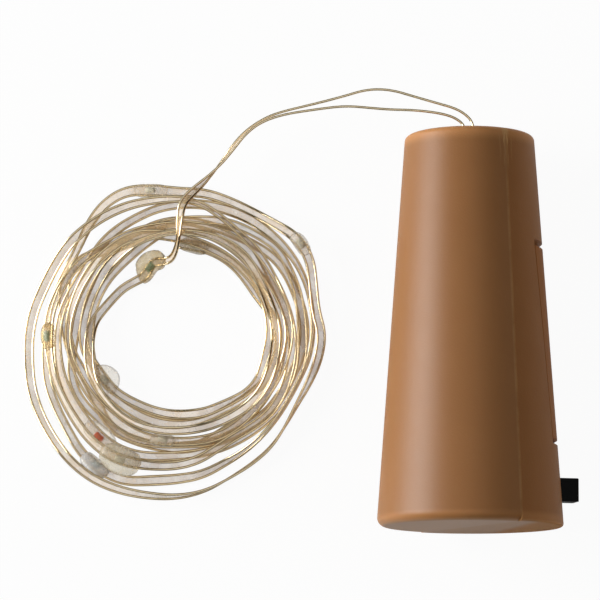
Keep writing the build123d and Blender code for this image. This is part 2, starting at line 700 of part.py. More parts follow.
def make_wire_seal():
    """Clear plug in the narrow end that holds the two wires."""
    inner = seal_inner_face()
    wall_low = CORK_LENGTH - END_WALL
    dome_edge = Vector(SEAL_DOME_RADIUS, CORK_LENGTH)
    dome_top = CORK_LENGTH + SEAL_DOME_HEIGHT
    outline = Polyline((0, dome_top), (0, inner), (SEAL_FLANGE_RADIUS, inner),
                       (SEAL_FLANGE_RADIUS, wall_low), (SEAL_NECK_RADIUS, wall_low),
                       (SEAL_NECK_RADIUS, CORK_LENGTH), dome_edge)
    flat = STRING_WIDTH / 2 + SLIDE_GAP
    crown = TangentArc((flat, dome_top), dome_edge, tangent=(1, 0))
    profile = make_face([outline.edges(), crown, Line((flat, dome_top), (0, dome_top))])
    return revolve(Plane.XZ * profile, Axis.Z)


def coil_radius(angle):
    """Radius of the string's coil, growing on the way out and shrinking on the way back."""
    turn_out = COIL_START_ANGLE + 360 * TURNS_OUT
    turn_in = turn_out + 180
    if angle <= turn_out:
        return COIL_START_RADIUS + COIL_PITCH * (angle - COIL_START_ANGLE) / 360
    widest = COIL_START_RADIUS + COIL_PITCH * TURNS_OUT
    return widest - COIL_PITCH * max(0, angle - turn_in) / 360


def coil_height(angle):
    """Height of the string's middle: first on the upper layer, then on the floor."""
    share = (angle - COIL_START_ANGLE - 360 * TURNS_OUT) / 180
    share = min(1, max(0, share))
    return STRING_WIDTH / 2 + LAYER_RISE * (1 + math.cos(math.pi * share)) / 2


def coil_point(angle):
    radius = coil_radius(angle)
    share = (radius - COIL_START_RADIUS) / (COIL_PITCH * TURNS_OUT)
    x = COIL_INNER_CENTRE[0] + (COIL_OUTER_CENTRE[0] - COIL_INNER_CENTRE[0]) * share
    y = COIL_INNER_CENTRE[1] + (COIL_OUTER_CENTRE[1] - COIL_INNER_CENTRE[1]) * share
    turn = math.radians(angle)
    return Vector(x + radius * math.cos(turn), y + radius * math.sin(turn), coil_height(angle))


def coil_knots():
    """Angles about half a turn apart: on the way out, through the climb and on the way in."""
    knots = [COIL_START_ANGLE]
    for turns in (TURNS_OUT, 0.5, TURNS_IN):
        pieces = math.ceil(2 * turns)
        start = knots[-1]
        knots += [start + 360 * turns * (number + 1) / pieces for number in range(pieces)]
    return knots


def coil_path():
    edges, first_way, last_way = turning_path(coil_point, coil_knots())
    start = edges[0] @ 0
    end = edges[-1] @ 1
    first = Line(start - first_way * STRING_WIDTH, start)
    last = Line(end, end + last_way * STRING_WIDTH)
    return Wire([first] + edges + [last]), first_way


def bead_plane(angle):
    """Plane at a drop: X along the string, Z up."""
    step = 0.5
    way = (coil_point(angle + step) - coil_point(angle - step)).normalized()
    side = Vector(0, 0, 1).cross(way).normalized()
    return Plane(origin=coil_point(angle), x_dir=way, z_dir=way.cross(side))


def make_led_chip(plane):
    seat = STRING_WIDTH / 2 + CHIP_SEAT_GAP
    half = CHIP_LENGTH / 2
    dome = CHIP_DOME_LENGTH / 2
    width = (-CHIP_WIDTH / 2, CHIP_WIDTH / 2)
    chip = block((-half, half), width, (seat, seat + CHIP_BASE))
    chip += block((-dome, dome), width, (seat + CHIP_BASE, seat + CHIP_BASE + CHIP_DOME))
    return plane.location * chip


def make_led_bead(plane, chip, coil):
    """Clear resin drop, cast round the string and the chip on top of it."""
    lift = BEAD_DIAMETER / 2 - STRING_WIDTH / 2 + BEAD_FLOOR_GAP
    drop = scale(Sphere(BEAD_DIAMETER / 2), by=(BEAD_LENGTH / BEAD_DIAMETER, 1, 1))
    return plane.location * Pos(0, 0, lift) * drop - coil - chip


def place_on_floor(pieces):
    """Lay the upright cork on its side and put the middle of its footprint at the origin."""
    tilt = math.radians(HALF_CONE)
    turn = math.radians(DOOR_AZIMUTH)
    along = Vector(0, math.cos(tilt), -math.sin(tilt))
    up = Vector(0, math.sin(tilt), math.cos(tilt))
    door_way = up * math.cos(turn) + Vector(1, 0, 0) * math.sin(turn)
    lying = Plane(origin=(0, 0, 0), x_dir=door_way, z_dir=along)
    box = grouped([lying.location * piece for piece in pieces.values()]).bounding_box()
    shift = Vector(-box.center().X, -box.center().Y, -box.min.Z)
    return Plane(origin=shift, x_dir=door_way, z_dir=along)


def make_case():
    pieces = {
        "front_shell": make_front_shell(),
        "rear_shell": make_rear_shell(),
        "battery_door": make_battery_door(),
        "positive_contact": make_positive_contact(),
        "negative_contact": make_negative_contact(),
        "contact_spring": make_contact_spring(),
        "switch_frame": make_switch_frame(),
        "switch_base": make_switch_base(),
        "switch_terminals": make_switch_terminals(),
        "switch_knob": make_switch_knob(),
        "switch_wiper": make_switch_wiper(),
        "circuit_board": make_circuit_board(),
        "chip_resistor": make_chip_resistor(),
        "solder_joints": make_solder_joints(),
        "positive_wire": make_positive_wire(),
        "negative_wire": make_negative_wire(),
        "wire_seal": make_wire_seal(),
    }
    for number in range(CELL_COUNT):
        pieces[f"button_cell_{number + 1}"] = make_cell(number)
    return pieces


def make_string(exit_point, exit_way):
    """Lead from the cork's narrow end, the coil and the drops on it."""
    path, first_way = coil_path()
    coil = tube(path, STRING_WIDTH)
    least_gap(path, STRING_WIDTH, "string_coil")
    compare_volume(coil, path, STRING_WIDTH, "string_coil")

    coil_start = path @ 0
    points = [exit_point, exit_point + exit_way * LEAD_EXIT_RUN]
    points += [Vector(point) for point in LEAD_POINTS]
    points += [coil_start - first_way * LEAD_END_RUN, coil_start]
    lead_path = route(points, STRING_WIDTH, "string_lead")
    lead = tube(lead_path, STRING_WIDTH)
    compare_volume(lead, lead_path, STRING_WIDTH, "string_lead")
    print(f"whole string {path.length + lead_path.length:.0f} mm")

    pieces = {"string_lead": lead, "string_coil": coil}
    for number, angle in enumerate(BEAD_ANGLES, start=1):
        plane = bead_plane(angle)
        chip = make_led_chip(plane)
        pieces[f"led_chip_{number}"] = chip
        pieces[f"led_bead_{number}"] = make_led_bead(plane, chip, coil)
    return pieces


def print_joints(lying):
    """Where the two joints are, in metres, for whoever drives the model."""
    def metres(vector):
        return [round(value / 1000, 6) for value in vector]

    def axis(vector):
        return [round(value, 6) for value in vector]

    hinge = lying.from_local_coords(Vector(radius_at(OPENING_END), 0, OPENING_END))
    print("door_hinge", metres(hinge), axis(lying.y_dir * -1))
    knob = lying.from_local_coords(Vector(SWITCH_TOP, 0, KNOB_MIDDLE))
    print("switch_slide", metres(knob), axis(lying.z_dir), "travel", KNOB_TRAVEL)
    wide_end = lying.from_local_coords(Vector(0, 0, 0))
    narrow_end = lying.from_local_coords(Vector(0, 0, CORK_LENGTH))
    print("wide_end", metres(wide_end), "narrow_end", metres(narrow_end), "along", axis(lying.z_dir))
    rest_face = lying.from_local_coords(Vector(NARROW_RADIUS / 2, 0, 0))
    gauge_ring = lying.from_local_coords(Vector(0, 0, (WIDE_RADIUS - BOTTLE_BORE / 2) / TAPER))
    print("mount_points", metres(rest_face), metres(gauge_ring))


def main():
    case = make_case()
    lying = place_on_floor(case)
    pieces = {name: lying.location * piece for name, piece in case.items()}
    exit_point = lying.from_local_coords(Vector(0, 0, CORK_LENGTH + SEAL_DOME_HEIGHT))
    pieces.update(make_string(exit_point, lying.z_dir))
    print_joints(lying)
    os.makedirs("parts", exist_ok=True)
    for name, piece in pieces.items():
        export_step(piece, os.path.join("parts", name + ".step"))


main()
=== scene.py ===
import bpy
import json
import math
from mathutils import Matrix, Vector


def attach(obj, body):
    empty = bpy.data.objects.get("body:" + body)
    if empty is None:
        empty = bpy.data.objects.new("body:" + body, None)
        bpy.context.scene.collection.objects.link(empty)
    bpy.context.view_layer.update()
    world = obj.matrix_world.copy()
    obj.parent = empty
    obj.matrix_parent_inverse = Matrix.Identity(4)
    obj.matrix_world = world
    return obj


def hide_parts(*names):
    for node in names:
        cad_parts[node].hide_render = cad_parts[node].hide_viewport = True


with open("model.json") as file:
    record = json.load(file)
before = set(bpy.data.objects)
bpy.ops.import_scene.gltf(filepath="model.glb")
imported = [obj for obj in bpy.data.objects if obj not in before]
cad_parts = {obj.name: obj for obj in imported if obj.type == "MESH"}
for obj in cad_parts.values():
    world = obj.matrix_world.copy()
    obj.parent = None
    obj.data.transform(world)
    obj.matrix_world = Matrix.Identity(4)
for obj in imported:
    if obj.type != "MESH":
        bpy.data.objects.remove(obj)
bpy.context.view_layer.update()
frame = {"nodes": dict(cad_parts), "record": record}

# Looks of a cork bottle light: a brown plastic cork with a slide switch,
# and a coiled string of two wires with LED drops on it.
# Lengths of the string are in millimetres, as in the solid model, and everything else is in metres.
MM = 0.001
UP = Vector((0, 0, 1))
# Corners of a square, in order round it
SQUARE = ((-1, -1), (1, -1), (1, 1), (-1, 1))

# Camera high above the cork's wide end, tipped so that the whole object is in view
CAMERA_PLACE = Vector((-0.001035, -0.028, 0.45))
CAMERA_TARGET = Vector((-0.022746, 0.00414, 0.008))
CAMERA_ROLL = 0.0018
CAMERA_LENS = 207.8
CAMERA_SENSOR = 36.0
CAMERA_CLIP = (0.01, 20)

# Floor, with the shares of plain white that the camera and shiny surfaces see in it
FLOOR_SIZE = 4.0
FLOOR_DROP = 0.0002
FLOOR_COLOUR = (0.90, 0.90, 0.89, 1)
FLOOR_ROUGHNESS = 0.9
FLOOR_GLOW = 0.95
FLOOR_SHINE = 0.25

# World: its level at the side and at the top, and the heights of the sky where one turns into the other,
# for its light and for what shiny surfaces mirror
WORLD_COLOUR = (1, 1, 1, 1)
WORLD_LEVELS = (0.03, 0.13)
WORLD_RISE = (0.1, 0.75)
GLOSS_LEVELS = (0.03, 1.0)
GLOSS_RISE = (0.76, 0.965)

# Lamps: place, target, size, power and whether shiny surfaces mirror them
LAMPS = {
    "key": ((-0.40, 0.06, 0.17), (-0.01, 0.0, 0.01), 0.30, 2.3, True),
    "fill": ((0.42, 0.05, 0.22), (0.0, 0.0, 0.01), 0.45, 0.55, False),
}

# Noise and grain that the materials share: the span that most of a noise lies in, and the shares of its mean
# that an uneven value lies between
NOISE_SPAN = (0.3, 0.7)
NOISE_DETAIL = 3.0
NOISE_ROUGHNESS = 0.55
UNEVEN = (0.8, 1.2)
GLOSS_FINENESS = 3
GRAIN_FINENESS = 12
GRAIN_DETAIL = 2.0
GRAIN_DEPTH = 0.00002
FADE_IN = (0.0, 1.0)
FADE_OUT = (1.0, 0.0)

# Cork case: middle of its wide end, its direction, and the ways that its door and its parting line face
CORK_START = Vector((-0.001035, -0.02486, 0.01177))
CORK_ALONG = Vector((0.0, 0.997489, -0.070822))
CORK_DOOR = Vector((0.963630, -0.018926, -0.266567))
SEAM_FROM_DOOR = math.radians(-72.5)
CORK_SEAM = Matrix.Rotation(SEAM_FROM_DOOR, 3, CORK_ALONG) @ CORK_DOOR
# Its colours: a painted amber glow at the rims and on the wide end face, a painted highlight along the
# parting line that also tints pale flow streaks beside it, and a painted pale sheen on most of the wide end
# face
CORK_RIM_PAINTED_GLOW = (0.54, 0.245, 0.084)
CORK_SEAM_HIGHLIGHT_AND_STREAK = (0.60, 0.33, 0.13)
CORK_END_PAINTED_SHEEN = (0.46, 0.225, 0.085)
# Where these looks begin and end: along the cork, beside the parting line, and towards that line or the door
WIDE_FACE = (0.00005, 0.0004)
WIDE_RIM = (0.0007, 0.0016)
NARROW_RIM = (0.0480, 0.0497)
STREAK_START = (0.0440, 0.0490)
SEAM_LINE = (0.00006, 0.0003)
SEAM_SMEAR = (0.0003, 0.0011)
TOWARDS_SEAM = (0.004, 0.006)
TOWARDS_DOOR = (0.0048, 0.0070)
# How strong they are, with the breaks in the line's painted highlight and the flow marks taken from a noise
WIDE_RIM_TINT = (0.4, 0.0)
SEAM_LINE_TINT = (0.3, 0.0)
LINE_BREAK_SPAN = (0.35, 0.6)
LINE_BREAK_TINT = (0.25, 1.0)
STREAK_SPAN = (0.48, 0.60)
STREAK_TINT = (0.0, 0.9)
STREAK_STRETCH = (1.0, 0.12, 1.0)
STREAK_SCALE = 2600
STREAK_DETAIL = 2.0
# Its surface: cells of each noise in a metre, roughness, grain, and how far light goes into the plastic
CORK_CELLS = {"colour": 180, "line_breaks": 260, "gloss": 700, "grain": 4200}
CORK_COLOUR_DETAIL = 5.0
CORK_ROUGHNESS = (0.44, 0.462)
CORK_END_ROUGHNESS = (0.45, 0.75)
CORK_GRAIN = 0.55
CORK_GRAIN_DETAIL = 3.0
CORK_GRAIN_DEPTH = 0.00003
CORK_LIGHT_SHARE = 0.12
CORK_LIGHT_REACH = (1.0, 0.45, 0.2)
CORK_LIGHT_DEPTH = 0.0012

# Wire, film and resin: cells of each noise in a metre, colours, roughness and grain
WIRE_CELLS = {"colour": 160, "gloss": 200}
WIRE_COLOURS = ((0.74, 0.59, 0.35), (0.92, 0.79, 0.55))
WIRE_ROUGHNESS = (0.10, 0.20)
FILM_CELLS = {"colour": 600, "gloss": 1700, "cloud": 400, "grain": 6000}
FILM_COLOURS = ((0.76, 0.55, 0.30), (0.88, 0.67, 0.41))
FILM_COLOUR_DETAIL = 4.0
FILM_ROUGHNESS = (0.25, 0.4)
FILM_CLOUD = (0.26, 0.40)
FILM_GRAIN = 0.2
RESIN_CELLS = {"colour": 700, "gloss": 1500, "cloud": 900, "grain": 2500}
RESIN_ROUGHNESS = (0.18, 0.34)
RESIN_IOR = 1.4
RESIN_GRAIN = 0.15
RESIN_GRAIN_DEPTH = 0.00004

# Flat string of two wires in a clear film
STRING_WIDTH = 1.2
WIRE_DIAMETER = 0.34
FILM_THICKNESS = 0.12
FILM_START = 27.0
WIRE_SIDES = 8
WIRE_SLOT = 0
FILM_SLOT = 1
SPLINE_STEPS = 12
SPLINE_ORDER = 3
JOINED_SPREAD = (STRING_WIDTH - WIRE_DIAMETER) / 2

# Lead from the cork to the coil: place, twist in degrees and half the space between the two wires
LEAD_POINTS = (
    (-1.04, 25.61, 8.19, 0, 0.58),
    (-1.1, 26.6, 8.12, 0, 0.58),
    (-1.8, 27.5, 8.0, 0, 0.56),
    (-3.1, 28.3, 7.8, 0, 0.56),
    (-5.2, 28.9, 7.5, 0, 0.6),
    (-8.0, 29.5, 7.2, 0, 0.85),
    (-11.3, 30.1, 6.8, 0, 1.3),
    (-14.1, 30.3, 6.5, 0, 1.2),
    (-17.2, 30.0, 6.2, 0, 0.62),
    (-20.7, 29.4, 5.8, 0, 0.38),
    (-25.2, 28.6, 5.4, 20, 0.22),
    (-27.8, 27.7, 5.1, 60, 0.34),
    (-30.0, 26.2, 4.8, 60, JOINED_SPREAD),
    (-31.7, 24.2, 4.5, 50, JOINED_SPREAD),
    (-33.2, 22.2, 4.2, 70, JOINED_SPREAD),
    (-35.1, 20.1, 4.3, 110, JOINED_SPREAD),
    (-37.0, 18.3, 4.8, 160, JOINED_SPREAD),
    (-38.2, 16.9, 5.2, 190, JOINED_SPREAD),
    (-38.5, 14.5, 5.6, 222, JOINED_SPREAD),
    (-38.6, 12.7, 5.4, 245, JOINED_SPREAD),
    (-39.0, 11.0, 4.2, 235, JOINED_SPREAD),
    (-39.7, 9.9, 2.9, 215, JOINED_SPREAD),
    (-40.8, 9.6, 2.0, 195, JOINED_SPREAD),
    (-42.3, 9.6, 1.5, 180, JOINED_SPREAD),
)

# Coil: radius of the string at every 30 degrees from 120 degrees on, one row for each turn
COIL_CENTRE = (-38.95, 0.07)
COIL_FIRST_ANGLE = 120
COIL_STEP = 30
COIL_POINT_STEP = 10
COIL_LAST_ANGLE = 3696
COIL_TURNS = (
    (8.9, 9.6, 11.4, 12.8, 12.7, 12.5, 12.5, 13.2, 13.3, 12.7, 13.1, 13.2),
    (12.9, 12.7, 12.5, 11.0, 10.4, 10.5, 10.7, 11.9, 11.9, 12.0, 12.4, 12.5),
    (13.7, 14.2, 14.4, 14.0, 13.8, 13.4, 14.2, 14.4, 14.5, 13.8, 14.2, 14.2),
    (15.1, 15.9, 16.4, 17.1, 17.9, 17.1, 15.1, 15.0, 15.1, 14.6, 15.3, 17.6),
    (18.1, 18.5, 19.8, 20.7, 21.5, 21.1, 19.3, 17.9, 18.8, 19.4, 18.8, 19.2),
    (19.7, 16.8, 17.3, 18.5, 20.4, 18.5, 17.1, 17.0, 17.6, 18.1, 17.7, 16.8),
    (16.3, 15.1, 15.4, 16.1, 16.7, 15.8, 16.1, 16.1, 15.9, 17.0, 16.2, 14.9),
    (13.3, 16.4, 14.9, 13.4, 14.6, 14.2, 14.7, 15.6, 16.7, 15.8, 14.8, 15.3),
    (14.5, 13.4, 13.4, 15.0, 15.3, 14.9, 13.4, 13.8, 13.8, 13.3, 13.6, 13.7),
    (12.1, 11.9, 11.6, 11.9, 11.5, 11.5, 11.6, 12.5, 12.7, 11.4, 11.8, 12.0),
)
# Kinks of the string: angle, reach along the coil in degrees and height across it
COIL_KINKS = (
    (1814, 8, -1.2), (1837, 8, 0.6), (1894, 5, -0.7), (1908, 6, 0.6), (1935, 9, -0.8), (2052, 7, 0.4),
    (1402, 10, 0.3), (2562, 8, 0.5), (2574, 6, 0.4), (1515, 9, 0.3), (706, 9, -0.3), (3575, 10, 0.3),
)
# Places where the flat string stands on edge: angle, reach along the coil and roll, all in degrees
COIL_ROLLS = ((1770, 55, 66), (2130, 55, 58))
# A spline through control points this far apart on a circle runs inside them by this much
COIL_PULL = math.cos(math.radians(COIL_POINT_STEP / 2))
# Slow waves along the coil in its radius, twist and spread: height, waves in a turn and start in radians
RADIUS_WAVES = ((0.28, 2.6, 1.0), (0.20, 4.3, 2.4))
TWIST_WAVES = ((30, 1.7, 0.6), (20, 3.1, 2.0))
SPREAD_WAVES = ((0.14, 2.3, 0.0),)
TWIST_MIDDLE = 188
SPREAD_MIDDLE = 1.16
# The radius waves in full between these radii, and by this share nearer the middle and farther out
LOOSE_RADII = (12.0, 17.2)
TIGHT_SHARE = 0.45
# The coil is entered where the lead comes this near to the first drop's angle and to the first radius
ENTRY_ANGLE = 4
ENTRY_RADIUS = 2

# LED drops, placed by the angle that the coil has turned through
BEAD_ANGLES = (112, 572, 982, 1326, 1261, 1901, 1836, 2037, 2392, 3680)
BEAD_LENGTHS = (4.8, 4.2, 3.4, 5.6, 3.6, 4.4, 3.4, 4.2, 5.0, 3.8)
BEAD_WIDTHS = (3.0, 2.8, 2.0, 3.8, 2.1, 2.0, 1.9, 2.6, 2.8, 2.2)
BEAD_LEANS = (0.28, -0.45, -0.05, 0.1, 0.0, -0.1, 0.05, 0.1, -0.1, 0.05)
BEAD_RESINS = ("amber", "clear", "clear", "beige", "amber", "clear", "clear", "opal", "clear", "beige")
BEAD_CHIPS = ("green", "grey", "grey", "grey", "green", "grey", "grey", "pale", "red", "grey")
BEAD_WAVER = 0.05
BEAD_WAVER_STEP = 2.1
BEAD_WAVER_PACE = 3
BEAD_HEIGHT = 1.45
BEAD_FULLNESS = 2.2
BEAD_TIP = 0.3 * STRING_WIDTH
BEAD_SPREAD = 0.3
BEAD_SPREAD_REACH = 7
BEAD_RINGS = 18
BEAD_SIDES = 20

# LED chip: its size, its cut corners, its levels as shares of its width and height, and its surface
CHIP_SIZE = (1.3, 0.75, 0.45)
CHIP_EDGE = 0.12
CHIP_LEVELS = ((1.0, 0.0), (1.0, 0.5), (0.9, 0.6), (0.68, 0.64), (0.62, 0.95), (0.5, 1.0))
CHIP_CELLS = 2500
CHIP_ROUGHNESS = 0.45
CHIP_COLOURS = {
    "green": ((0.20, 0.36, 0.25), (0.34, 0.50, 0.38)),
    "pale": ((0.72, 0.84, 0.80), (0.86, 0.92, 0.89)),
    "red": ((0.80, 0.13, 0.05), (0.90, 0.24, 0.10)),
    "grey": ((0.66, 0.62, 0.48), (0.80, 0.76, 0.63)),
}

# Half width that the string takes up in the pile, as it is and at a drop
PILE_STRING = 0.5
PILE_BEAD = 0.9
# Degrees that a drop reaches along the pile, that its heights are apart, looked for and evened out over
PILE_BEAD_REACH = 14
PILE_STEP = 5
PILE_WINDOW = 15
PILE_SMOOTH = 10


def rgba(red, green, blue):
    """Opaque colour for a colour socket."""
    return (red, green, blue, 1)


def map_range(nodes, value, span, levels):
    """Smooth remap of a value socket from a span to two levels; returns the result output."""
    remap = nodes.new("ShaderNodeMapRange")
    remap.interpolation_type = "SMOOTHSTEP"
    for name, number in zip(("From Min", "From Max", "To Min", "To Max"), (*span, *levels)):
        remap.inputs[name].default_value = number
    nodes.id_data.links.new(value, remap.inputs["Value"])
    return remap.outputs["Result"]


def noise(nodes, cells, detail=NOISE_DETAIL):
    """Noise in object space with so many cells in a metre; returns the factor output."""
    place = nodes.new("ShaderNodeTexCoord")
    texture = nodes.new("ShaderNodeTexNoise")
    texture.inputs["Scale"].default_value = cells
    texture.inputs["Detail"].default_value = detail
    texture.inputs["Roughness"].default_value = NOISE_ROUGHNESS
    nodes.id_data.links.new(place.outputs["Object"], texture.inputs["Vector"])
    return texture.outputs["Fac"]


def drifting_colour(nodes, cells, low, high, detail=NOISE_DETAIL):
    """Colour that drifts between two colours by a noise; returns the colour output."""
    factor = noise(nodes, cells, detail)
    ramp = nodes.new("ShaderNodeValToRGB")
    ramp.color_ramp.elements[0].color = rgba(*low)
    ramp.color_ramp.elements[1].color = rgba(*high)
    nodes.id_data.links.new(factor, ramp.inputs["Fac"])
    return ramp.outputs["Color"]


def drifting_value(nodes, cells, levels):
    """Value that drifts between two levels by a noise; returns the result output."""
    return map_range(nodes, noise(nodes, cells), NOISE_SPAN, levels)


def uneven(mean):
    """The two levels that an uneven value lies between."""
    return [mean * share for share in UNEVEN]


def new_material(name):
    """Empty node material with a Principled shader; returns the material, its nodes and the shader."""
    material = bpy.data.materials.new(name)
    material.use_nodes = True
    nodes = material.node_tree.nodes
    return material, nodes, nodes["Principled BSDF"]


def add_bump(nodes, shader, height, strength, distance):
    """Relief of a shader's surface from a height output."""
    bump = nodes.new("ShaderNodeBump")
    bump.inputs["Strength"].default_value = strength
    bump.inputs["Distance"].default_value = distance
    nodes.id_data.links.new(height, bump.inputs["Height"])
    nodes.id_data.links.new(bump.outputs["Normal"], shader.inputs["Normal"])


def make_plain(name, low, high, cells, roughness, metallic=0.0, grain=0.3, coat=0.0, shine=0.5):
    """Material with cloudy colour, uneven gloss and a fine grain, all in object space."""
    material, nodes, shader = new_material(name)
    links = material.node_tree.links
    links.new(drifting_colour(nodes, cells, low, high), shader.inputs["Base Color"])
    gloss = drifting_value(nodes, cells * GLOSS_FINENESS, uneven(roughness))
    links.new(gloss, shader.inputs["Roughness"])
    shader.inputs["Metallic"].default_value = metallic
    shader.inputs["Specular IOR Level"].default_value = shine
    shader.inputs["Coat Weight"].default_value = coat
    add_bump(nodes, shader, noise(nodes, cells * GRAIN_FINENESS, GRAIN_DETAIL), grain, GRAIN_DEPTH)
    return material


def make_metal(name, low, high, cells, roughness, grain):
    """Bare metal with cloudy colour, uneven gloss and a fine grain."""
    return make_plain(name, low, high, cells, roughness, metallic=1.0, grain=grain)


def cork_distance(nodes, direction):
    """Distance from the middle of the cork's wide end in one direction, in metres; returns an output."""
    place = nodes.new("ShaderNodeTexCoord")
    shift = nodes.new("ShaderNodeVectorMath")
    shift.operation = "SUBTRACT"
    shift.inputs[1].default_value = CORK_START
    dot = nodes.new("ShaderNodeVectorMath")
    dot.operation = "DOT_PRODUCT"
    dot.inputs[1].default_value = direction
    links = nodes.id_data.links
    links.new(place.outputs["Object"], shift.inputs[0])
    links.new(shift.outputs["Vector"], dot.inputs[0])
    return dot.outputs["Value"]


def math_node(nodes, operation, *values):
    """Math node on value sockets; returns its output."""
    made = nodes.new("ShaderNodeMath")
    made.operation = operation
    for socket, value in zip(made.inputs, values):
        nodes.id_data.links.new(value, socket)
    return made.outputs["Value"]


def tint(nodes, factor, colour, over):
    """A colour laid over a colour output where a factor output says so; returns the result."""
    mix = nodes.new("ShaderNodeMix")
    mix.data_type = "RGBA"
    mix.inputs["B"].default_value = rgba(*colour)
    nodes.id_data.links.new(factor, mix.inputs["Factor"])
    nodes.id_data.links.new(over, mix.inputs["A"])
    return mix.outputs["Result"]


def streak_noise(nodes, beside, along):
    """Noise drawn out along the cork, for flow marks in the moulding; returns the factor output."""
    join = nodes.new("ShaderNodeCombineXYZ")
    stretch = nodes.new("ShaderNodeMapping")
    stretch.inputs["Scale"].default_value = STREAK_STRETCH
    texture = nodes.new("ShaderNodeTexNoise")
    texture.inputs["Scale"].default_value = STREAK_SCALE
    texture.inputs["Detail"].default_value = STREAK_DETAIL
    links = nodes.id_data.links
    links.new(beside, join.inputs["X"])
    links.new(along, join.inputs["Y"])
    links.new(join.outputs["Vector"], stretch.inputs["Vector"])
    links.new(stretch.outputs["Vector"], texture.inputs["Vector"])
    return texture.outputs["Fac"]


def make_cork_plastic(name, low, high, shine):
    """Satin moulded plastic, a little translucent, with a painted amber glow at the rims, a painted
    highlight along the parting line, pale flow streaks beside it and a painted sheen on the wide end face.
    """
    material, nodes, shader = new_material(name)
    links = material.node_tree.links
    base = drifting_colour(nodes, CORK_CELLS["colour"], low, high, CORK_COLOUR_DETAIL)
    along = cork_distance(nodes, CORK_ALONG)
    wide = map_range(nodes, along, WIDE_RIM, WIDE_RIM_TINT)
    narrow = map_range(nodes, along, NARROW_RIM, FADE_IN)
    # Painted glow: the rims are tinted a lighter amber than the plastic, for light that comes through it at
    # its edges.
    base = tint(nodes, math_node(nodes, "MAXIMUM", wide, narrow), CORK_RIM_PAINTED_GLOW, base)
    # Painted highlight: a pale line along the parting line, broken up by a noise, stands for the light that
    # the seam's edge catches; beside it near the narrow end are pale flow streaks of the moulding.
    beside = math_node(nodes, "ABSOLUTE", cork_distance(nodes, CORK_ALONG.cross(CORK_SEAM)))
    facing = map_range(nodes, cork_distance(nodes, CORK_SEAM), TOWARDS_SEAM, FADE_IN)
    broken_line = map_range(nodes, noise(nodes, CORK_CELLS["line_breaks"]), LINE_BREAK_SPAN, LINE_BREAK_TINT)
    line = math_node(nodes, "MULTIPLY", broken_line, map_range(nodes, beside, SEAM_LINE, SEAM_LINE_TINT))
    smear = map_range(nodes, beside, SEAM_SMEAR, FADE_OUT)
    patch = map_range(nodes, streak_noise(nodes, beside, along), STREAK_SPAN, STREAK_TINT)
    near_end = map_range(nodes, along, STREAK_START, FADE_IN)
    streaks = math_node(nodes, "MULTIPLY", math_node(nodes, "MULTIPLY", smear, patch), near_end)
    pale = math_node(nodes, "MULTIPLY", math_node(nodes, "MAXIMUM", line, streaks), facing)
    base = tint(nodes, pale, CORK_SEAM_HIGHLIGHT_AND_STREAK, base)
    # Painted sheen: the wide end face takes the rim's painted amber glow, and away from the door a paler
    # colour, for the light and the white surroundings that it catches.
    on_end = map_range(nodes, along, WIDE_FACE, FADE_OUT)
    doorward = cork_distance(nodes, CORK_DOOR)
    end_face_sheen = math_node(nodes, "MULTIPLY", on_end, map_range(nodes, doorward, TOWARDS_DOOR, FADE_OUT))
    base = tint(nodes, end_face_sheen, CORK_END_PAINTED_SHEEN, tint(nodes, on_end, CORK_RIM_PAINTED_GLOW, base))
    links.new(base, shader.inputs["Base Color"])
    satin = drifting_value(nodes, CORK_CELLS["gloss"], CORK_ROUGHNESS)
    end_roughness = map_range(nodes, doorward, TOWARDS_DOOR, CORK_END_ROUGHNESS)
    matt = math_node(nodes, "MULTIPLY", on_end, end_roughness)
    links.new(math_node(nodes, "MAXIMUM", satin, matt), shader.inputs["Roughness"])
    shader.inputs["Specular IOR Level"].default_value = shine
    shader.inputs["Subsurface Weight"].default_value = CORK_LIGHT_SHARE
    shader.inputs["Subsurface Radius"].default_value = CORK_LIGHT_REACH
    shader.inputs["Subsurface Scale"].default_value = CORK_LIGHT_DEPTH
    grain = noise(nodes, CORK_CELLS["grain"], CORK_GRAIN_DETAIL)
    add_bump(nodes, shader, grain, CORK_GRAIN, CORK_GRAIN_DEPTH)
    return material


def make_wire_metal(name):
    """Champagne plated wire under clear enamel."""
    material, nodes, shader = new_material(name)
    links = material.node_tree.links
    links.new(drifting_colour(nodes, WIRE_CELLS["colour"], *WIRE_COLOURS), shader.inputs["Base Color"])
    links.new(drifting_value(nodes, WIRE_CELLS["gloss"], WIRE_ROUGHNESS), shader.inputs["Roughness"])
    shader.inputs["Metallic"].default_value = 1.0
    return material


def make_film(name):
    """Thin film between the wires, clear with an amber tone and a little cloudy."""
    material, nodes, shader = new_material(name)
    links = material.node_tree.links
    tone = drifting_colour(nodes, FILM_CELLS["colour"], *FILM_COLOURS, FILM_COLOUR_DETAIL)
    links.new(tone, shader.inputs["Base Color"])
    links.new(drifting_value(nodes, FILM_CELLS["gloss"], FILM_ROUGHNESS), shader.inputs["Roughness"])
    links.new(drifting_value(nodes, FILM_CELLS["cloud"], FILM_CLOUD), shader.inputs["Alpha"])
    add_bump(nodes, shader, noise(nodes, FILM_CELLS["grain"], GRAIN_DETAIL), FILM_GRAIN, GRAIN_DEPTH)
    return material


